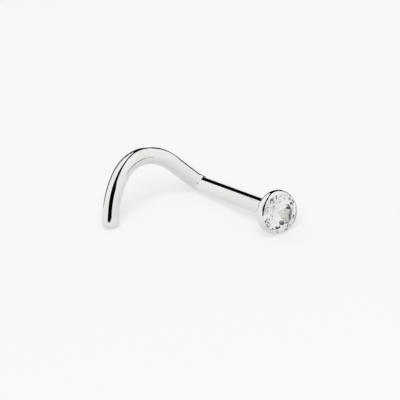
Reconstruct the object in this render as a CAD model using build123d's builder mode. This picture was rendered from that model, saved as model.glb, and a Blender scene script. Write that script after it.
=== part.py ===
"""Nose stud of the nostril-screw kind: a wire post with a bent hook, a cup and a cut crystal.

All sizes are in millimetres.  The stud is modelled as it lies on a level surface, on the
edge of its cup, the outside of its bend and the tip of its hook, with +Z up and the cup
facing -Y.
"""
import os
from collections import namedtuple
from math import cos, radians, sin, tan

from build123d import *

# ---- wire: post, bend and hook --------------------------------------------------------
WIRE_RADIUS = 0.41        # 20 gauge wire, 0.82 mm thick
POST_LENGTH = 6.47        # lip of the cup to the start of the bend
BEND_RADIUS = 0.55        # centre line of the right-angle bend
HOOK_RUN = 1.43           # straight wire between the bend and the hook's arch
HOOK_ARCS = (             # the arch, bend by bend: centre line radius and degrees turned
    (2.36, 38.0),
    (1.58, 59.0),
    (4.00, 33.0),
)
HOOK_TAIL = 0.26          # straight wire from the arch to the tip
TIP_ROUND = 0.18          # rounding of the blunt tip

# ---- cup that holds the stone -----------------------------------------------------------
LIP_INNER_RADIUS = 0.925  # opening of the lip, over the edge of the stone
CUP_RADIUS = 1.05         # widest part of the cup, behind the lip
RIM_ROUND = 0.20          # rounding of the lip where it is rubbed over the stone
RIM_START = 60.0          # degrees from the stone's plane at which the rounding starts
CUP_SIDE = 0.36           # lip to the shoulder
CUP_BACK = 1.06           # lip to where the conical back would meet the wire
NECK_END = 1.34           # lip to the end of the soldered neck
SHOULDER_ROUND = 0.16
NECK_ROUND = 0.36
STONE_GAP = 0.02          # clearance between the stone and the lip or groove
SEAT_GAP = 0.03           # clearance between the stone and its conical seat

# ---- round brilliant stone -----------------------------------------------------------------
STONE_RADIUS = 0.945
TABLE_SHARE = 0.57        # table's corner radius over the stone's radius
CROWN_ANGLE = 34.5        # kite facets, degrees from the girdle plane
PAVILION_ANGLE = 40.75    # main pavilion facets, degrees from the girdle plane
STAR_SHARE = 0.50         # star facets' reach from the table's edge to the girdle
LOWER_SHARE = 0.77        # lower girdle facets' reach from the girdle to the culet
GIRDLE_TOP = -0.07        # height of the girdle's upper edge, from the lip's plane
GIRDLE_THICKNESS = 0.05
SECTORS = 8
HALF_SECTOR = 180.0 / SECTORS
BLANK_ALLOWANCE = 0.10    # length of the round blank past the culet, all ground away

# ---- how the stud lies ----------------------------------------------------------------------
POST_SLOPE = 5.874        # degrees that the post falls from the cup to the bend
HOOK_LEAN = 51.635        # degrees from level to the hook's first run, about the post
LIP_X, LIP_Y, LIP_Z = 2.2313, -3.6891, 1.0758   # centre of the lip, box centre over the origin

slope, lean = radians(POST_SLOPE), radians(HOOK_LEAN)
facing = Vector(0, -cos(slope), sin(slope))
run_direction = Vector(-cos(lean), sin(lean) * sin(slope), sin(lean) * cos(slope))

lip_plane = Plane(origin=(LIP_X, LIP_Y, LIP_Z), x_dir=run_direction, z_dir=facing)
bend_plane = Plane(origin=lip_plane.origin, x_dir=run_direction, z_dir=-lip_plane.y_dir)
hook_plane = lip_plane.offset(-(POST_LENGTH + BEND_RADIUS))


def seat_height(radius):
    """Height of the conical seat at a radius, parallel to the main pavilion facets."""
    angle = radians(PAVILION_ANGLE)
    edge = GIRDLE_TOP - GIRDLE_THICKNESS - SEAT_GAP / cos(angle)
    return edge - (STONE_RADIUS - radius) * tan(angle)


# ---- hooked post: wire and cup, soldered into one piece -----------------------------------------
with BuildPart() as hooked_post:
    with BuildLine(bend_plane) as post_line:
        post_run = Line((0, -NECK_END), (0, -POST_LENGTH))
        bend_arc = JernArc(start=post_run @ 1, tangent=post_run % 1, radius=BEND_RADIUS, arc_size=90)
        Line(bend_arc @ 1, bend_arc @ 1 + run_direction * HOOK_RUN)
    with BuildLine(hook_plane) as hook_line:
        hook_end, heading = (BEND_RADIUS + HOOK_RUN, 0), (1, 0)
        for arc_radius, arc_turn in HOOK_ARCS:
            arc = JernArc(start=hook_end, tangent=heading, radius=arc_radius, arc_size=arc_turn)
            hook_end, heading = arc @ 1, arc % 1
        hook_tail = Line(hook_end, hook_end + heading * HOOK_TAIL)
    wire_route = Wire(post_line.edges() + hook_line.edges())
    with BuildSketch(Plane(origin=wire_route @ 0, z_dir=wire_route % 0)):
        Circle(WIRE_RADIUS)
    sweep(path=wire_route)
    tip_edge = hooked_post.edges().filter_by(GeomType.CIRCLE).sort_by_distance(hook_tail @ 1)[0]
    fillet(tip_edge, radius=TIP_ROUND)

    groove_radius = STONE_RADIUS + STONE_GAP
    with BuildSketch(bend_plane):
        with BuildLine():
            rim_centre = (CUP_RADIUS - RIM_ROUND, -RIM_ROUND * sin(radians(RIM_START)))
            rim = CenterArc(rim_centre, RIM_ROUND, start_angle=RIM_START, arc_size=-RIM_START)
            back = FilletPolyline(
                rim @ 1, (CUP_RADIUS, -CUP_SIDE), (WIRE_RADIUS, -CUP_BACK), (WIRE_RADIUS, -NECK_END),
                (0, -NECK_END), radius=(SHOULDER_ROUND, NECK_ROUND, 0))
            Polyline(
                back @ 1, (0, seat_height(0)), (groove_radius, seat_height(groove_radius)),
                (groove_radius, GIRDLE_TOP + STONE_GAP), (LIP_INNER_RADIUS, GIRDLE_TOP + 2 * STONE_GAP),
                (LIP_INNER_RADIUS, 0), rim @ 0)
        make_face()
    revolve(axis=Axis(lip_plane.origin, facing))

# ---- crystal: a round brilliant, ground facet by facet ---------------------------------------------
Corner = namedtuple("Corner", "radius azimuth height")
Facet = namedtuple("Facet", "first second third mirrored")

table_radius = TABLE_SHARE * STONE_RADIUS
table_height = GIRDLE_TOP + (STONE_RADIUS - table_radius) * tan(radians(CROWN_ANGLE))
girdle_bottom = GIRDLE_TOP - GIRDLE_THICKNESS
culet_height = girdle_bottom - STONE_RADIUS * tan(radians(PAVILION_ANGLE))
side_cosine = cos(radians(HALF_SECTOR))
star_radius = STAR_SHARE * STONE_RADIUS + (1 - STAR_SHARE) * table_radius * side_cosine
star_drop = (star_radius * side_cosine - table_radius) * tan(radians(CROWN_ANGLE))
keel_radius = (1 - LOWER_SHARE) * STONE_RADIUS
keel_rise = keel_radius * side_cosine * tan(radians(PAVILION_ANGLE))

table_corner = Corner(table_radius, 0, table_height)
next_table_corner = Corner(table_radius, 2 * HALF_SECTOR, table_height)
star_foot = Corner(star_radius, HALF_SECTOR, table_height - star_drop)
upper_girdle = Corner(STONE_RADIUS, 0, GIRDLE_TOP)
upper_girdle_side = Corner(STONE_RADIUS, HALF_SECTOR, GIRDLE_TOP)
lower_girdle = Corner(STONE_RADIUS, 0, girdle_bottom)
lower_girdle_side = Corner(STONE_RADIUS, HALF_SECTOR, girdle_bottom)
keel_foot = Corner(keel_radius, HALF_SECTOR, culet_height + keel_rise)
culet = Corner(0, 0, culet_height)

FACETS = {
    "kite": Facet(table_corner, upper_girdle, star_foot, mirrored=False),
    "star": Facet(table_corner, star_foot, next_table_corner, mirrored=False),
    "upper girdle": Facet(upper_girdle, upper_girdle_side, star_foot, mirrored=True),
    "pavilion main": Facet(culet, keel_foot, lower_girdle, mirrored=False),
    "lower girdle": Facet(lower_girdle, keel_foot, lower_girdle_side, mirrored=True),
}


def grinding_plane(facet, turn, mirror):
    """Plane of one facet, facing out of the stone.

    turn is the number of sectors to go round by, and mirror is -1 for the facet's
    mirror image across its sector's middle and 1 for the facet itself.
    """
    points = [
        lip_plane.from_local_coords(
            Vector(corner.radius, 0, corner.height).rotate(
                Axis.Z, mirror * corner.azimuth + turn * 2 * HALF_SECTOR))
        for corner in (facet.first, facet.second, facet.third)]
    outward = (points[1] - points[0]).cross(points[2] - points[0]) * mirror
    return Plane(origin=points[0], z_dir=outward)


with BuildPart() as crystal:
    with BuildSketch(lip_plane.offset(culet_height - BLANK_ALLOWANCE)):
        Circle(STONE_RADIUS)
    extrude(amount=table_height - culet_height + BLANK_ALLOWANCE)
    for facet in FACETS.values():
        for mirror in (1, -1) if facet.mirrored else (1,):
            for turn in range(SECTORS):
                split(bisect_by=grinding_plane(facet, turn, mirror), keep=Keep.BOTTOM)

os.makedirs("parts", exist_ok=True)
hooked_post.part.label = "hooked_post"
export_step(hooked_post.part, "parts/hooked_post.step")
crystal.part.label = "crystal"
export_step(crystal.part, "parts/crystal.step")
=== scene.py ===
"""Nose stud of the nostril-screw kind, dressed for its picture.

A polished steel wire is bent into a hook at one end and carries a small turned cup at the
other, with a round brilliant of clear crystal set in it.  The stud lies by itself on a
level pale surface, on the edge of its cup, the outside of its bend and the tip of its hook.

Sizes are in millimetres in every class here and are turned to metres when a mesh is made.
"""
import logging
from dataclasses import dataclass, field
from enum import Enum
from math import cos, pi, radians, sin, tan
from typing import Any, Sequence

import bmesh
import bpy
from mathutils import Matrix, Vector


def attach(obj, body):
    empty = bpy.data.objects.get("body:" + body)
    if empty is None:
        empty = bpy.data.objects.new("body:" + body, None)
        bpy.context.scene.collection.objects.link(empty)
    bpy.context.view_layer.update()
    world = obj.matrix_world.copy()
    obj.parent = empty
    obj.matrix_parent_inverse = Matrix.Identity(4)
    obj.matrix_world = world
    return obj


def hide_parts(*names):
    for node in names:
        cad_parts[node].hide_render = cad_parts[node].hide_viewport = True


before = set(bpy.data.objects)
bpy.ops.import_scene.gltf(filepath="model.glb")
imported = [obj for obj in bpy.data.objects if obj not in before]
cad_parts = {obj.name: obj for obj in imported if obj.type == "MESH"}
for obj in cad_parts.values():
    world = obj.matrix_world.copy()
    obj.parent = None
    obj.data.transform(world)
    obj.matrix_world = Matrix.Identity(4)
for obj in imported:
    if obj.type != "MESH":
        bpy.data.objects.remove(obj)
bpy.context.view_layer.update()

MILLIMETRE = 0.001
FULL_TURN = 2 * pi
CORNER_STEP = radians(9)        # turn between two points of a small rounding

# sockets of the Mix node in colour mode, which share their names with its other modes
MIX_FACTOR, MIX_FIRST, MIX_SECOND, MIX_RESULT = 0, 6, 7, 2

log = logging.getLogger("nose_stud")


class Node(Enum):
    """Solids of the part that the pieces here stand in for."""

    POST = "hooked_post"
    STONE = "crystal"


class Slot(Enum):
    """Material slots of the part."""

    STEEL = "steel"
    CRYSTAL = "crystal"


# ---- small helpers -------------------------------------------------------------------------------


def linear(hex_colour: str) -> tuple[float, float, float, float]:
    """Turns an sRGB hex colour to linear RGBA.

    Args:
        hex_colour: six hex digits, red first, without a hash sign.

    Returns:
        The linear colour with an alpha of 1.
    """
    channels = [int(hex_colour[i:i + 2], 16) / 255 for i in (0, 2, 4)]
    red, green, blue = (
        c / 12.92 if c <= 0.04045 else ((c + 0.055) / 1.055) ** 2.4 for c in channels)
    return red, green, blue, 1.0


def add_node(tree: bpy.types.NodeTree, kind: str, links: dict[Any, Any] | None = None,
             inputs: dict[Any, Any] | None = None, **settings: Any) -> bpy.types.Node:
    """Adds one node to a tree with its settings, its sockets' values and its links.

    Args:
        tree: the tree that the node goes into.
        kind: the node's type name.
        links: input socket name or index to the output socket that feeds it.
        inputs: input socket name or index to the value set on it.
        **settings: the node's own properties.

    Returns:
        The new node.
    """
    node = tree.nodes.new(kind)
    for name, value in settings.items():
        setattr(node, name, value)
    for name, value in (inputs or {}).items():
        node.inputs[name].default_value = value
    for name, source in (links or {}).items():
        tree.links.new(source, node.inputs[name])
    return node


def rounded(corners: Sequence[tuple[float, float]], radii: Sequence[float],
            step: float = CORNER_STEP) -> list[tuple[float, float]]:
    """Rounds the inner corners of an open profile with tangent arcs.

    Args:
        corners: (radius, depth) points of the profile, in order.
        radii: rounding of each inner corner; 0 keeps it sharp.
        step: largest turn between two neighbouring points of an arc, in radians.

    Returns:
        The points of the rounded profile.
    """
    points = [corners[0]]
    for before, here, after, radius in zip(corners, corners[1:], corners[2:], radii):
        corner = Vector(here)
        back, ahead = (Vector(before) - corner).normalized(), (Vector(after) - corner).normalized()
        if not radius:
            points.append(here)
            continue
        half = back.angle(ahead) / 2
        centre = corner + (back + ahead).normalized() * radius / sin(half)
        start = corner + back * radius / tan(half) - centre
        end = corner + ahead * radius / tan(half) - centre
        turn = start.angle_signed(end)
        count = max(2, round(abs(turn) / step))
        for i in range(count + 1):
            spoke = start.copy()
            spoke.rotate(Matrix.Rotation(-turn * i / count, 2))
            points.append(tuple(centre + spoke))
    points.append(corners[-1])
    return points


def outward(azimuth: float, elevation: float) -> Vector:
    """Unit vector from the stud, by radians round from its front and radians up."""
    return Vector((sin(azimuth) * cos(elevation), -cos(azimuth) * cos(elevation), sin(elevation)))


# ---- how the stud lies ---------------------------------------------------------------------------


@dataclass(frozen=True)
class Lie:
    """Where the stud's own axes are when it lies on the level surface."""

    lip_centre: Vector = field(default_factory=lambda: Vector((2.2313, -3.6891, 1.0758)))
    post_slope: float = 5.874    # degrees that the post falls from the cup to the bend
    hook_lean: float = 51.635    # degrees from level to the hook's first run

    def matrix(self) -> Matrix:
        """Matrix from the stud's axes to the row's.

        Returns:
            X runs along the hook's first straight, Z out of the cup, and the origin is the
            middle of the cup's lip.
        """
        slope, lean = radians(self.post_slope), radians(self.hook_lean)
        facing = Vector((0, -cos(slope), sin(slope)))
        run = Vector((-cos(lean), sin(lean) * sin(slope), sin(lean) * cos(slope)))
        turn = Matrix((run, facing.cross(run), facing)).transposed().to_4x4()
        return Matrix.Translation(self.lip_centre) @ turn


def finished_piece(name: str, mesh: bpy.types.Mesh, lie: Lie) -> bpy.types.Object:
    """Turns a mesh in the stud's own axes into a piece that lies in the row's frame.

    Args:
        name: name of the piece.
        mesh: mesh in the stud's axes, in millimetres.
        lie: how the stud lies.

    Returns:
        An object at the origin with its place in its mesh, facing outwards.
    """
    body = bmesh.new()
    body.from_mesh(mesh)
    bmesh.ops.recalc_face_normals(body, faces=body.faces)
    body.to_mesh(mesh)
    body.free()
    mesh.transform(Matrix.Scale(MILLIMETRE, 4) @ lie.matrix())
    mesh.name = name
    piece = bpy.data.objects.new(name, mesh)
    bpy.context.scene.collection.objects.link(piece)
    return piece


# ---- crystal -------------------------------------------------------------------------------------


@dataclass(frozen=True)
class Facet:
    """One family of facets: three corners of its plane as (radius, sectors round, height).

    A mirrored family also has the mirror image of each facet, across its sector's middle.
    """

    first: tuple[float, float, float]
    second: tuple[float, float, float]
    third: tuple[float, float, float]
    mirrored: bool


@dataclass
class RoundBrilliant:
    """A clear crystal ground as a round brilliant, facet by facet."""

    lie: Lie
    radius: float = 0.945
    table_share: float = 0.57          # table's corner radius over the stone's
    crown_angle: float = radians(34.5)
    pavilion_angle: float = radians(40.75)
    star_share: float = 0.50           # stars' reach from the table's edge to the girdle
    lower_share: float = 0.77          # lower girdle facets' reach from the girdle to the culet
    girdle_top: float = -0.07          # from the lip's plane
    girdle_thickness: float = 0.05
    sectors: int = 8
    blank_sides: int = 192
    blank_allowance: float = 0.10      # length of the round blank past the culet, ground away
    cut_weld: float = 1e-6             # how near a corner counts as on a cut

    @property
    def table_radius(self) -> float:
        """Radius of the table's corners."""
        return self.table_share * self.radius

    @property
    def table_height(self) -> float:
        """Height of the table."""
        return self.girdle_top + (self.radius - self.table_radius) * tan(self.crown_angle)

    @property
    def girdle_bottom(self) -> float:
        """Height of the girdle's lower edge."""
        return self.girdle_top - self.girdle_thickness

    @property
    def culet_height(self) -> float:
        """Height of the point that the lower half ends in."""
        return self.girdle_bottom - self.radius * tan(self.pavilion_angle)

    def families(self) -> list[Facet]:
        """Works out the five families of facets.

        Returns:
            The kites, the stars, the upper girdle facets, the pavilion mains and the lower
            girdle facets.
        """
        table, top = self.table_radius, self.table_height
        bottom, culet = self.girdle_bottom, self.culet_height
        side = cos(pi / self.sectors)
        star = self.star_share * self.radius + (1 - self.star_share) * table * side
        star_height = top - (star * side - table) * tan(self.crown_angle)
        keel = (1 - self.lower_share) * self.radius
        keel_height = culet + keel * side * tan(self.pavilion_angle)
        star_foot, keel_foot = (star, 0.5, star_height), (keel, 0.5, keel_height)
        upper, upper_side = (self.radius, 0, self.girdle_top), (self.radius, 0.5, self.girdle_top)
        lower, lower_side = (self.radius, 0, bottom), (self.radius, 0.5, bottom)
        return [
            Facet((table, 0, top), upper, star_foot, False),
            Facet((table, 0, top), star_foot, (table, 1, top), False),
            Facet(upper, upper_side, star_foot, True),
            Facet((0, 0, culet), keel_foot, lower, False),
            Facet(lower, keel_foot, lower_side, True),
        ]

    def corner(self, place: tuple[float, float, float], turn: int, mirror: int) -> Vector:
        """Places a facet's corner in the stone's axes.

        Args:
            place: its radius, its sectors round and its height.
            turn: sectors to go round by.
            mirror: -1 for the mirror image across the sector's middle, otherwise 1.

        Returns:
            The corner.
        """
        radius, sectors_round, height = place
        angle = (turn + mirror * sectors_round) * FULL_TURN / self.sectors
        return Vector((radius * cos(angle), radius * sin(angle), height))

    def grind(self, stone: bmesh.types.BMesh, facet: Facet, turn: int, mirror: int) -> None:
        """Cuts one facet off the stone and closes the cut.

        Args:
            stone: the stone so far.
            facet: family of the facet.
            turn: sectors to go round by.
            mirror: -1 for the mirror image across the sector's middle, otherwise 1.
        """
        first, second, third = (
            self.corner(place, turn, mirror) for place in (facet.first, facet.second, facet.third))
        facing = (second - first).cross(third - first) * mirror
        cut = bmesh.ops.bisect_plane(
            stone, geom=[*stone.verts, *stone.edges, *stone.faces], dist=self.cut_weld,
            plane_co=first, plane_no=facing, clear_outer=True)
        rim = [e for e in cut["geom_cut"] if isinstance(e, bmesh.types.BMEdge)]
        bmesh.ops.holes_fill(stone, edges=rim, sides=0)

    def build(self, finish: bpy.types.Material) -> bpy.types.Object:
        """Makes the stone.

        Args:
            finish: material of the crystal.

        Returns:
            The finished piece, with flat facets.
        """
        top, low = self.table_height, self.culet_height - self.blank_allowance
        stone = bmesh.new()
        bmesh.ops.create_cone(
            stone, cap_ends=True, segments=self.blank_sides, radius1=self.radius,
            radius2=self.radius, depth=top - low, matrix=Matrix.Translation((0, 0, (top + low) / 2)))
        for facet in self.families():
            for mirror in (1, -1) if facet.mirrored else (1,):
                for turn in range(self.sectors):
                    self.grind(stone, facet, turn, mirror)
        mesh = bpy.data.meshes.new("round_brilliant")
        stone.to_mesh(mesh)
        stone.free()
        mesh.materials.append(finish)
        return finished_piece("round_brilliant", mesh, self.lie)


# ---- steel: wire and cup -------------------------------------------------------------------------


@dataclass(frozen=True)
class Ring:
    """One round of the steel's skin: where its middle is, and its radius."""

    middle: Vector
    radius: float


@dataclass(frozen=True)
class Arc:
    """One bend of the hook's arch, along the wire's centre line."""

    radius: float
    degrees: float

    @property
    def turn(self) -> float:
        """Angle that the wire turns through, in radians."""
        return radians(self.degrees)


@dataclass
class HookedPost:
    """The bent wire and the cup soldered to it, skinned as one piece."""

    lie: Lie
    stone: RoundBrilliant
    wire_radius: float = 0.41          # 20 gauge
    post_length: float = 6.57          # lip of the cup to the start of the bend
    bend_radius: float = 0.45
    hook_run: float = 1.53             # straight between the bend and the arch
    hook_arcs: tuple[Arc, ...] = (Arc(2.36, 38.0), Arc(1.58, 59.0), Arc(4.00, 33.0))
    hook_tail: float = 0.26            # straight from the arch to the tip
    tip_round: float = 0.18
    lip_inner_radius: float = 0.895
    cup_radius: float = 1.05
    rim_round: float = 0.35            # rounding of the lip where it is rubbed over the stone
    rim_start: float = radians(52)     # from the stone's plane
    wall_flare: float = radians(7.5)   # the cup's wall opens a little from the lip to the shoulder
    cup_side: float = 0.36             # lip to the shoulder
    cup_back: float = 1.06             # lip to where the conical back would meet the wire
    neck_end: float = 1.34             # lip to the end of the soldered neck
    shoulder_round: float = 0.16
    neck_round: float = 0.36
    inner_round: float = 0.003         # of the lip's inner edge
    lip_inner_depth: float = -0.03
    groove_gap: float = 0.02           # between the stone's girdle and the groove
    seat_gap: float = 0.03             # between the stone's lower half and its seat
    points_round: int = 128            # in each round of the skin
    arc_step: float = radians(3)
    run_step: float = 0.25             # between two rounds on a straight
    hairline: float = 0.0005           # depth between two rounds that lie in one flat face
    weld: float = 0.0001               # points nearer than this are joined

    def outside(self) -> list[Ring]:
        """Rounds of the outer skin, from the lip's front to the middle of the tip.

        Returns:
            The rings in the stud's own axes.
        """
        rim = self.rim()
        profile = rim + rounded(
            [rim[-1], (self.cup_radius, -self.cup_side), (self.wire_radius, -self.cup_back),
             (self.wire_radius, -self.neck_end)], (self.shoulder_round, self.neck_round))[1:]
        rings = self.stacked(profile) + [Ring(point, self.wire_radius) for point in self.route()]
        return rings + self.tip(rings[-1].middle)

    def stacked(self, profile: Sequence[tuple[float, float]]) -> list[Ring]:
        """Rounds of a turned profile, each at least a hairline behind the one before.

        Args:
            profile: (radius, depth) points, from the lip's front to the back.

        Returns:
            The rings in the stud's own axes.
        """
        return [Ring(Vector((0, 0, min(depth, -self.hairline * i))), radius)
                for i, (radius, depth) in enumerate(profile)]

    @property
    def rim_centre(self) -> tuple[float, float]:
        """Centre of the rim's rounding.

        Returns:
            Its radius and its depth.
        """
        depth = -self.rim_round * sin(self.rim_start)
        wall = self.cup_side + depth + self.rim_round * sin(self.wall_flare)
        radius = self.cup_radius - wall * tan(self.wall_flare)
        return radius - self.rim_round * cos(self.wall_flare), depth

    @property
    def middle_of_lip(self) -> float:
        """Radius in the middle of the lip's narrow flat."""
        flat_edge = self.rim_centre[0] + self.rim_round * cos(self.rim_start)
        return (flat_edge + self.lip_inner_radius) / 2

    def rim(self) -> list[tuple[float, float]]:
        """Points of the lip's flat and of its rubbed-over rounding.

        Returns:
            (radius, depth) points from the middle of the lip to the cup's wall.
        """
        radius, depth = self.rim_centre
        sweep = self.rim_start - self.wall_flare
        arc = [self.rim_start - turn for turn in (0.0, *self.turns(sweep))]
        return [(self.middle_of_lip, 0.0)] + [
            (radius + self.rim_round * cos(a), depth + self.rim_round * sin(a)) for a in arc]

    def route(self) -> list[Vector]:
        """Centre line of the wire from the cup's neck to where the tip rounds off.

        Returns:
            Points along the post, the bend, the hook's run, its arch and its tail.
        """
        level = -self.post_length - self.bend_radius
        points = self.run(Vector((0, 0, -self.neck_end)), Vector((0, 0, -self.post_length)))
        points += [
            Vector((self.bend_radius * (1 - cos(turn)), 0,
                    -self.post_length - self.bend_radius * sin(turn)))
            for turn in self.turns(pi / 2)]
        points += self.run(points[-1], Vector((self.bend_radius + self.hook_run, 0, level)))
        heading = 0.0
        for arc in self.hook_arcs:
            start, first = points[-1], heading
            points += [
                start + arc.radius * Vector((sin(first + turn) - sin(first),
                                             cos(first) - cos(first + turn), 0))
                for turn in self.turns(arc.turn)]
            heading += arc.turn
        tail = self.tail_direction() * (self.hook_tail - self.tip_round)
        return points + self.run(points[-1], points[-1] + tail)

    def tail_direction(self) -> Vector:
        """Direction of the hook's last straight, towards the tip."""
        heading = sum(arc.turn for arc in self.hook_arcs)
        return Vector((cos(heading), sin(heading), 0))

    def tip(self, base: Vector) -> list[Ring]:
        """Rounds of the blunt tip, which is cut square and rounded at its edge.

        Args:
            base: middle of the last round before the rounding.

        Returns:
            Rings down to the middle of the flat end.
        """
        rings = []
        for turn in self.turns(pi / 2, CORNER_STEP):
            reach = base + self.tail_direction() * self.tip_round * sin(turn)
            rings.append(Ring(reach, self.wire_radius - self.tip_round * (1 - cos(turn))))
        last = rings[-1]
        end = last.middle + self.tail_direction() * self.hairline
        return rings + [Ring(end, last.radius / 2),
                        Ring(end + self.tail_direction() * self.hairline, 0)]

    def inside(self) -> list[Ring]:
        """Rounds of the lip's inner edge, the groove and the stone's seat.

        Returns:
            Rings from the lip's front to the bottom of the seat.
        """
        angle = self.stone.pavilion_angle
        groove = self.stone.radius + self.groove_gap
        edge = self.stone.girdle_bottom - self.seat_gap / cos(angle)
        foot = edge + self.groove_gap * tan(angle)
        bottom = edge - self.stone.radius * tan(angle)
        profile = rounded(
            [(self.middle_of_lip, 0), (self.lip_inner_radius, 0),
             (self.lip_inner_radius, self.lip_inner_depth),
             (groove, self.stone.girdle_top + self.groove_gap), (groove, foot), (0, bottom)],
            (self.inner_round, 0, 0, 0))
        return self.stacked(profile)

    def turns(self, whole: float, step: float | None = None) -> list[float]:
        """Even angles up to a whole turn, without the first."""
        count = round(whole / (step or self.arc_step))
        return [whole * (i + 1) / count for i in range(count)]

    def run(self, start: Vector, end: Vector) -> list[Vector]:
        """Even points along a straight, without its first."""
        count = max(2, round((end - start).length / self.run_step))
        return [start.lerp(end, (i + 1) / count) for i in range(count)]

    def skin_tree(self, finish: bpy.types.Material) -> bpy.types.GeometryNodeTree:
        """Node tree that draws a round section along the centre lines.

        Args:
            finish: material of the skin.

        Returns:
            The tree, with its sizes as named inputs.
        """
        tree = bpy.data.node_groups.new("drawn_wire", "GeometryNodeTree")
        tree.interface.new_socket("Centre lines", in_out="INPUT", socket_type="NodeSocketGeometry")
        tree.interface.new_socket("Points round", in_out="INPUT", socket_type="NodeSocketInt")
        tree.interface.new_socket("Weld distance", in_out="INPUT", socket_type="NodeSocketFloat")
        tree.interface.new_socket("Skin", in_out="OUTPUT", socket_type="NodeSocketGeometry")
        given = add_node(tree, "NodeGroupInput")
        section = add_node(tree, "GeometryNodeCurvePrimitiveCircle", inputs={"Radius": 1.0},
                           links={"Resolution": given.outputs["Points round"]})
        thickness = add_node(tree, "GeometryNodeInputRadius")
        skin = add_node(tree, "GeometryNodeCurveToMesh", inputs={"Fill Caps": False},
                        links={"Curve": given.outputs["Centre lines"],
                               "Profile Curve": section.outputs["Curve"],
                               "Scale": thickness.outputs["Radius"]})
        welded = add_node(tree, "GeometryNodeMergeByDistance",
                          links={"Geometry": skin.outputs["Mesh"],
                                 "Distance": given.outputs["Weld distance"]})
        smooth = add_node(tree, "GeometryNodeSetShadeSmooth",
                          links={"Geometry": welded.outputs["Geometry"]})
        real = add_node(tree, "GeometryNodeRealizeInstances",
                        links={"Geometry": smooth.outputs["Geometry"]})
        dressed = add_node(tree, "GeometryNodeSetMaterial", inputs={"Material": finish},
                           links={"Geometry": real.outputs["Geometry"]})
        add_node(tree, "NodeGroupOutput", links={"Skin": dressed.outputs["Geometry"]})
        return tree

    def build(self, finish: bpy.types.Material) -> bpy.types.Object:
        """Makes the post and cup as one closed mesh.

        Args:
            finish: material of the steel.

        Returns:
            The finished piece.
        """
        curve = bpy.data.curves.new("centre_lines", "CURVE")
        curve.dimensions = "3D"
        curve.twist_mode = "MINIMUM"
        for rings in (self.outside(), self.inside()):
            spline = curve.splines.new("POLY")
            spline.points.add(len(rings) - 1)
            for point, ring in zip(spline.points, rings):
                point.co = (*ring.middle, 1)
                point.radius = ring.radius
        lines = bpy.data.objects.new("centre_lines", curve)
        bpy.context.scene.collection.objects.link(lines)
        skin = lines.modifiers.new("skin", "NODES")
        skin.node_group = self.skin_tree(finish)
        sockets = {s.name: s.identifier for s in skin.node_group.interface.items_tree
                   if s.in_out == "INPUT"}
        skin[sockets["Points round"]] = self.points_round
        skin[sockets["Weld distance"]] = self.weld
        depsgraph = bpy.context.evaluated_depsgraph_get()
        mesh = bpy.data.meshes.new_from_object(lines.evaluated_get(depsgraph))
        bpy.data.objects.remove(lines)
        return finished_piece("post_and_cup", mesh, self.lie)


# ---- finishes ------------------------------------------------------------------------------------


def per_metre(size: float) -> float:
    """Scale of a pattern on Object coordinates whose features are so many millimetres apart."""
    return 1 / (size * MILLIMETRE)


@dataclass(frozen=True)
class PolishedSteel:
    """Surgical steel, drawn to wire, bent, soldered to a turned cup and barrel polished.

    The eye gets a clear bright mirror with a slight warm grey cast.  The polish leaves soft
    patches a little duller than the rest, a faint ripple from drawing and turning, and buffing
    marks that only just soften the edges of what it reflects.
    """

    colour: str = "eae9e7"
    dull_colour: str = "e5e4e1"
    bright_roughness: float = 0.045
    dull_roughness: float = 0.085
    patch_size: float = 1.1        # mm from one duller patch to the next
    patch_edge: tuple[float, float] = (0.4, 0.7)   # noise levels where patches start and are full
    ripple_size: float = 0.7       # mm from crest to crest of the drawn ripple
    ripple_depth: float = 0.0002   # mm
    buffing_size: float = 0.07     # mm; real marks are ten times finer and wouldn't show
    buffing_depth: float = 0.00003

    def material(self) -> bpy.types.Material:
        """Makes the material.

        Returns:
            The steel's material.
        """
        material = bpy.data.materials.new("polished_surgical_steel")
        material.use_nodes = True
        tree = material.node_tree
        shader = tree.nodes["Principled BSDF"]
        shader.inputs["Metallic"].default_value = 1.0
        place = add_node(tree, "ShaderNodeTexCoord").outputs["Object"]
        patches = add_node(tree, "ShaderNodeTexNoise", {"Vector": place}, {
            "Scale": per_metre(self.patch_size), "Detail": 3.0, "Roughness": 0.55})
        ripple = add_node(tree, "ShaderNodeTexNoise", {"Vector": place}, {
            "Scale": per_metre(self.ripple_size), "Detail": 1.0})
        buffing = add_node(tree, "ShaderNodeTexNoise", {"Vector": place}, {
            "Scale": per_metre(self.buffing_size), "Detail": 2.0})
        duller = add_node(tree, "ShaderNodeMapRange", {"Value": patches.outputs["Fac"]}, {
            "From Min": self.patch_edge[0], "From Max": self.patch_edge[1]},
            interpolation_type="SMOOTHSTEP")
        colour = add_node(tree, "ShaderNodeMix", {MIX_FACTOR: duller.outputs["Result"]}, {
            MIX_FIRST: linear(self.colour), MIX_SECOND: linear(self.dull_colour)},
            data_type="RGBA")
        roughness = add_node(tree, "ShaderNodeMapRange", {"Value": duller.outputs["Result"]}, {
            "To Min": self.bright_roughness, "To Max": self.dull_roughness})
        drawn = add_node(tree, "ShaderNodeBump", {"Height": ripple.outputs["Fac"]}, {
            "Distance": self.ripple_depth * MILLIMETRE})
        buffed = add_node(tree, "ShaderNodeBump", {
            "Height": buffing.outputs["Fac"], "Normal": drawn.outputs["Normal"]}, {
                "Distance": self.buffing_depth * MILLIMETRE})
        tree.links.new(colour.outputs[MIX_RESULT], shader.inputs["Base Color"])
        tree.links.new(roughness.outputs["Result"], shader.inputs["Roughness"])
        tree.links.new(buffed.outputs["Normal"], shader.inputs["Normal"])
        return material


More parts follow.
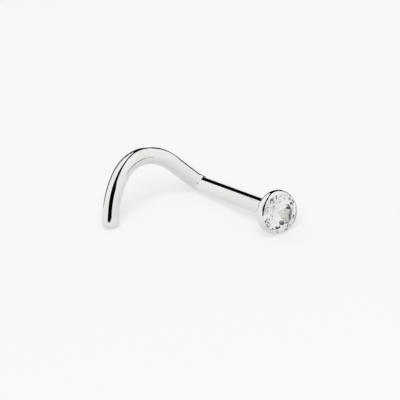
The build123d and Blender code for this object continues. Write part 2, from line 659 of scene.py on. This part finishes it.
@dataclass(frozen=True)
class CutCrystal:
    """Clear crystal of a zirconia kind, ground facet by facet and polished on a lap.

    The eye gets flat, bright facets that break the tent's light into small light and dark
    patches.  The lap leaves a trace of haze in patches and hairlines too fine to see singly.
    """

    colour: str = "f2f2f0"
    hazed_colour: str = "ededea"
    ior: float = 2.02
    haze_roughness: float = 0.004
    haze_size: float = 0.5         # mm from one hazy patch to the next
    haze_edge: tuple[float, float] = (0.45, 0.7)   # noise levels where haze starts and is full
    hairline_size: float = 0.04    # mm; real hairlines are finer and wouldn't show
    hairline_depth: float = 0.000002

    def material(self) -> bpy.types.Material:
        """Makes the material.

        Returns:
            The crystal's material.
        """
        material = bpy.data.materials.new("lapped_clear_crystal")
        material.use_nodes = True
        tree = material.node_tree
        shader = tree.nodes["Principled BSDF"]
        shader.inputs["Transmission Weight"].default_value = 1.0
        shader.inputs["IOR"].default_value = self.ior
        place = add_node(tree, "ShaderNodeTexCoord").outputs["Object"]
        patches = add_node(tree, "ShaderNodeTexNoise", {"Vector": place}, {
            "Scale": per_metre(self.haze_size), "Detail": 2.0})
        hairlines = add_node(tree, "ShaderNodeTexNoise", {"Vector": place}, {
            "Scale": per_metre(self.hairline_size), "Detail": 1.0})
        haze = add_node(tree, "ShaderNodeMapRange", {"Value": patches.outputs["Fac"]}, {
            "From Min": self.haze_edge[0], "From Max": self.haze_edge[1]},
            interpolation_type="SMOOTHSTEP")
        colour = add_node(tree, "ShaderNodeMix", {MIX_FACTOR: haze.outputs["Result"]}, {
            MIX_FIRST: linear(self.colour), MIX_SECOND: linear(self.hazed_colour)},
            data_type="RGBA")
        roughness = add_node(tree, "ShaderNodeMapRange", {"Value": haze.outputs["Result"]}, {
            "To Min": 0.0, "To Max": self.haze_roughness})
        lapped = add_node(tree, "ShaderNodeBump", {"Height": hairlines.outputs["Fac"]}, {
            "Distance": self.hairline_depth * MILLIMETRE})
        tree.links.new(colour.outputs[MIX_RESULT], shader.inputs["Base Color"])
        tree.links.new(roughness.outputs["Result"], shader.inputs["Roughness"])
        tree.links.new(lapped.outputs["Normal"], shader.inputs["Normal"])
        return material


# ---- studio --------------------------------------------------------------------------------------


@dataclass(frozen=True)
class FlagPoint:
    """A point on a flag's middle line, as the stud sees it, in degrees."""

    azimuth: float       # from the stud's front, towards its right
    elevation: float
    width: float         # half of the strip's width

    @property
    def half_width(self) -> float:
        """Half of the width, in radians."""
        return radians(self.width)

    def direction(self) -> Vector:
        """Unit vector from the stud to the point."""
        return outward(radians(self.azimuth), radians(self.elevation))


@dataclass(frozen=True)
class Flag:
    """A strip of black cloth hung in the tent."""

    name: str
    cloth: tuple[FlagPoint, ...]


# the wide stripes along the tail and the post, and most of the dark arc round the lip
OVERHEAD_STRIP = Flag("overhead_strip", (
    FlagPoint(-47.2, -0.6, 27.0),
    FlagPoint(-47.0, 3.0, 26.6),
    FlagPoint(-48.0, 12.0, 24.5),
    FlagPoint(-52.0, 18.5, 19.2),
    FlagPoint(-57.0, 27.5, 16.4),
    FlagPoint(-60.8, 37.5, 14.9),
    FlagPoint(-61.0, 47.5, 13.2),
    FlagPoint(-62.5, 57.5, 11.0),
    FlagPoint(-66.0, 67.0, 8.6),
    FlagPoint(-78.0, 75.5, 6.6),
    FlagPoint(-114.0, 80.2, 5.7),
    FlagPoint(178.0, 78.0, 5.5),
    FlagPoint(163.0, 69.0, 5.8),
    FlagPoint(151.5, 58.0, 6.5),
    FlagPoint(146.5, 47.0, 7.5),
    FlagPoint(144.5, 39.0, 12.5),
    FlagPoint(146.0, 33.0, 15.0),
    FlagPoint(150.5, 26.0, 22.0),
    FlagPoint(151.0, 14.0, 24.0),
))
# the dark line along the outside of the arch and tail, and the edge of the post's stripe
LOW_STRIP = Flag("low_strip", (
    FlagPoint(150.5, 1.0, 11.0),
    FlagPoint(165.0, 6.0, 16.0),
    FlagPoint(180.0, 7.5, 15.5),
    FlagPoint(-167.0, 4.0, 13.5),
    FlagPoint(-158.0, 0.0, 10.0),
    FlagPoint(-153.0, -2.0, 5.0),
))
# a little more depth in the line where the arch turns over
HIGH_STRIP = Flag("high_strip", (
    FlagPoint(170.0, 33.5, 3.0),
    FlagPoint(180.0, 33.5, 3.2),
    FlagPoint(-170.0, 31.8, 3.2),
    FlagPoint(-160.0, 29.3, 2.5),
    FlagPoint(-154.0, 27.5, 1.2),
))
# the thin dark line from the top of the arch down to the bend
SIDE_STRIP = Flag("side_strip", (
    FlagPoint(134.0, 24.0, 12.0),
    FlagPoint(126.0, 14.0, 11.5),
    FlagPoint(118.0, 8.5, 7.8),
    FlagPoint(110.0, 5.5, 5.0),
    FlagPoint(102.0, 4.5, 3.2),
    FlagPoint(92.0, 4.5, 1.8),
))
# the right half of the dark cap on top of the lip, and a trace along the top of the arch
RIM_STRIP = Flag("rim_strip", (
    FlagPoint(140.5, -6.0, 3.2),
    FlagPoint(140.0, 2.0, 3.8),
    FlagPoint(139.5, 9.0, 4.5),
    FlagPoint(139.0, 16.0, 7.0),
))


@dataclass
class Studio:
    """Pale sweep, white tent with black strips hung in it, one soft lamp and the camera."""

    # floor
    backdrop: str = "f5f4f2"
    glow: str = "fefefc"
    share_from_below: float = 0.60     # of what the camera sees of the floor
    open_level: float = 0.945          # strength of the light from below
    floor_half: float = 400.0
    # camera
    aim: Vector = field(default_factory=lambda: Vector((-0.472, -1.332, 2.038)))
    azimuth: float = radians(-28.76)
    elevation: float = radians(25.22)
    lean: float = radians(9.41)
    distance: float = 100.0
    lens: float = 197.2
    clip: tuple[float, float] = (0.002, 10.0)      # metres
    # tent, from straight down to straight up, and the fill that the floor gets
    tent_white: str = "ffffff"
    under_level: float = 0.78
    side_level: float = 0.97
    top_level: float = 1.05
    fill_level: float = 0.62
    tent_radius: float = 2000.0
    # lamp
    lamp_distance: float = 700.0
    lamp_size: float = 500.0
    lamp_azimuth: float = radians(-30)
    lamp_elevation: float = radians(50)
    lamp_power: float = 3.0            # watts
    # flags
    flag_black: str = "050505"
    flag_cuts: int = 3                 # cuts across each stretch, so that a twisted one is even
    flags: tuple[Flag, ...] = (OVERHEAD_STRIP, LOW_STRIP, HIGH_STRIP, SIDE_STRIP, RIM_STRIP)

    def floor(self) -> bpy.types.Object:
        """Makes the pale surface that the stud lies on.

        Metal and glass see the tent's plain lower half in its place.

        Returns:
            The floor.
        """
        mesh = bpy.data.meshes.new("floor")
        half = self.floor_half * MILLIMETRE
        corners = [(-half, -half, 0), (half, -half, 0), (half, half, 0), (-half, half, 0)]
        mesh.from_pydata(corners, [], [(0, 1, 2, 3)])
        mesh.materials.append(self.lit_acrylic())
        surface = bpy.data.objects.new("floor", mesh)
        bpy.context.scene.collection.objects.link(surface)
        surface.visible_glossy = surface.visible_transmission = False
        return surface

    def lit_acrylic(self) -> bpy.types.Material:
        """Makes the matt white acrylic of the floor, lit a little from below.

        Only the camera sees the light from below, which makes the shadows on it pale.

        Returns:
            The floor's material.
        """
        material = bpy.data.materials.new("matt_white_acrylic")
        material.use_nodes = True
        tree = material.node_tree
        matt = tree.nodes["Principled BSDF"]
        matt.inputs["Base Color"].default_value = linear(self.backdrop)
        matt.inputs["Roughness"].default_value = 1.0
        matt.inputs["Specular IOR Level"].default_value = 0.0
        ray = add_node(tree, "ShaderNodeLightPath")
        from_below = add_node(tree, "ShaderNodeMath", {0: ray.outputs["Is Camera Ray"]},
                              {1: self.share_from_below}, operation="MULTIPLY")
        glow = add_node(tree, "ShaderNodeEmission",
                        inputs={"Color": linear(self.glow), "Strength": self.open_level})
        mix = add_node(tree, "ShaderNodeMixShader", {
            0: from_below.outputs["Value"], 1: matt.outputs["BSDF"], 2: glow.outputs["Emission"]})
        tree.links.new(mix.outputs["Shader"], tree.nodes["Material Output"].inputs["Surface"])
        return material

    def tent(self) -> None:
        """Hangs the white tent, a little brighter overhead.

        Metal, glass and the camera see its cloth, and the floor gets a weaker fill from it.
        """
        world = bpy.data.worlds.new("white_tent")
        bpy.context.scene.world = world
        world.use_nodes = True
        tree = world.node_tree
        direction = add_node(tree, "ShaderNodeTexCoord")
        height = add_node(tree, "ShaderNodeSeparateXYZ", {0: direction.outputs["Generated"]})
        upper = add_node(
            tree, "ShaderNodeMapRange", {"Value": height.outputs["Z"]},
            {"From Min": 0.0, "From Max": 1.0, "To Min": self.side_level, "To Max": self.top_level})
        lower = add_node(
            tree, "ShaderNodeMapRange", {"Value": height.outputs["Z"]},
            {"From Min": -1.0, "From Max": 0.0, "To Min": self.under_level - self.side_level,
             "To Max": 0.0})
        cloth = add_node(tree, "ShaderNodeMath", {0: upper.outputs["Result"],
                                                  1: lower.outputs["Result"]}, operation="ADD")
        ray = add_node(tree, "ShaderNodeLightPath")
        mirrored = add_node(
            tree, "ShaderNodeMath", {0: ray.outputs["Is Glossy Ray"],
                                     1: ray.outputs["Is Transmission Ray"]}, operation="MAXIMUM")
        seen = add_node(
            tree, "ShaderNodeMath", {0: mirrored.outputs["Value"], 1: ray.outputs["Is Camera Ray"]},
            operation="MAXIMUM")
        level = add_node(tree, "ShaderNodeMix", {
            "Factor": seen.outputs["Value"], "B": cloth.outputs["Value"]}, {"A": self.fill_level})
        tree.links.new(level.outputs["Result"], tree.nodes["Background"].inputs["Strength"])
        tree.nodes["Background"].inputs["Color"].default_value = linear(self.tent_white)

    def lamp(self) -> bpy.types.Object:
        """Hangs the large soft lamp over the camera's shoulder, which lights the floor.

        Returns:
            The lamp.
        """
        data = bpy.data.lights.new("soft_lamp", "AREA")
        data.shape = "DISK"
        data.size = self.lamp_size * MILLIMETRE
        data.energy = self.lamp_power
        lamp = bpy.data.objects.new("soft_lamp", data)
        bpy.context.scene.collection.objects.link(lamp)
        direction = outward(self.lamp_azimuth, self.lamp_elevation)
        lamp.location = direction * self.lamp_distance * MILLIMETRE
        lamp.rotation_euler = direction.to_track_quat("Z", "Y").to_euler()
        lamp.visible_glossy = lamp.visible_transmission = lamp.visible_camera = False
        return lamp

    def hang(self, flag: Flag) -> bpy.types.Object:
        """Hangs a strip of black cloth in the tent, seen only by what reflects.

        Args:
            flag: the strip's name and the points of its middle line.

        Returns:
            The strip.
        """
        mesh = bpy.data.meshes.new(flag.name)
        strip = bmesh.new()
        middle = [(point.direction(), point.half_width) for point in flag.cloth]
        edges = []
        for i, (here, half_width) in enumerate(middle):
            ahead = middle[min(i + 1, len(middle) - 1)][0] - middle[max(i - 1, 0)][0]
            across = here.cross(ahead).normalized() * tan(half_width)
            edges.append([strip.verts.new((here + side * across).normalized() * self.tent_radius)
                          for side in (-1, 1)])
        for (left, right), (next_left, next_right) in zip(edges, edges[1:]):
            strip.faces.new((left, right, next_right, next_left))
        bmesh.ops.subdivide_edges(strip, edges=strip.edges, cuts=self.flag_cuts, smooth=0)
        strip.to_mesh(mesh)
        strip.free()
        mesh.transform(Matrix.Scale(MILLIMETRE, 4))
        mesh.materials.append(self.black_cloth())
        hung = bpy.data.objects.new(flag.name, mesh)
        bpy.context.scene.collection.objects.link(hung)
        hung.visible_camera = hung.visible_diffuse = hung.visible_shadow = False
        hung.visible_transmission = False
        return hung

    def black_cloth(self) -> bpy.types.Material:
        """Makes the dull black of the flags.

        Returns:
            The cloth's material.
        """
        material = bpy.data.materials.new("black_cloth")
        material.use_nodes = True
        shader = material.node_tree.nodes["Principled BSDF"]
        shader.inputs["Base Color"].default_value = linear(self.flag_black)
        shader.inputs["Roughness"].default_value = 1.0
        shader.inputs["Specular IOR Level"].default_value = 0.0
        return material

    def camera(self) -> bpy.types.Object:
        """Makes the camera and gives it to the scene.

        Returns:
            The camera.
        """
        data = bpy.data.cameras.new("camera")
        data.lens = self.lens
        data.clip_start, data.clip_end = self.clip
        camera = bpy.data.objects.new("camera", data)
        bpy.context.scene.collection.objects.link(camera)
        direction = outward(self.azimuth, self.elevation)
        camera.location = (self.aim + direction * self.distance) * MILLIMETRE
        turn = direction.to_track_quat("Z", "Y").to_matrix() @ Matrix.Rotation(-self.lean, 3, "Z")
        camera.rotation_euler = turn.to_euler()
        bpy.context.scene.camera = camera
        return camera


def dress(piece: bpy.types.Object, node: Node) -> None:
    """Lets a finished piece stand in for one of the part's solids.

    Args:
        piece: the finished piece.
        node: the solid that it replaces.
    """
    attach(piece, "root")
    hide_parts(node.value)
    log.info("%s: %d faces", piece.name, len(piece.data.polygons))


def main() -> None:
    """Builds the stud and its studio."""
    lie = Lie()
    studio = Studio()
    studio.camera()
    studio.floor()
    studio.tent()
    studio.lamp()
    for flag in studio.flags:
        studio.hang(flag)

    brilliant = RoundBrilliant(lie)
    post = HookedPost(lie, brilliant).build(PolishedSteel().material())
    post.visible_glossy = False        # the steel isn't mirrored in itself
    dress(post, Node.POST)
    stone = brilliant.build(CutCrystal().material())
    dress(stone, Node.STONE)

    bpy.context.scene.view_settings.view_transform = "Standard"


if __name__ == "__main__":
    logging.basicConfig(level=logging.INFO)
    main()
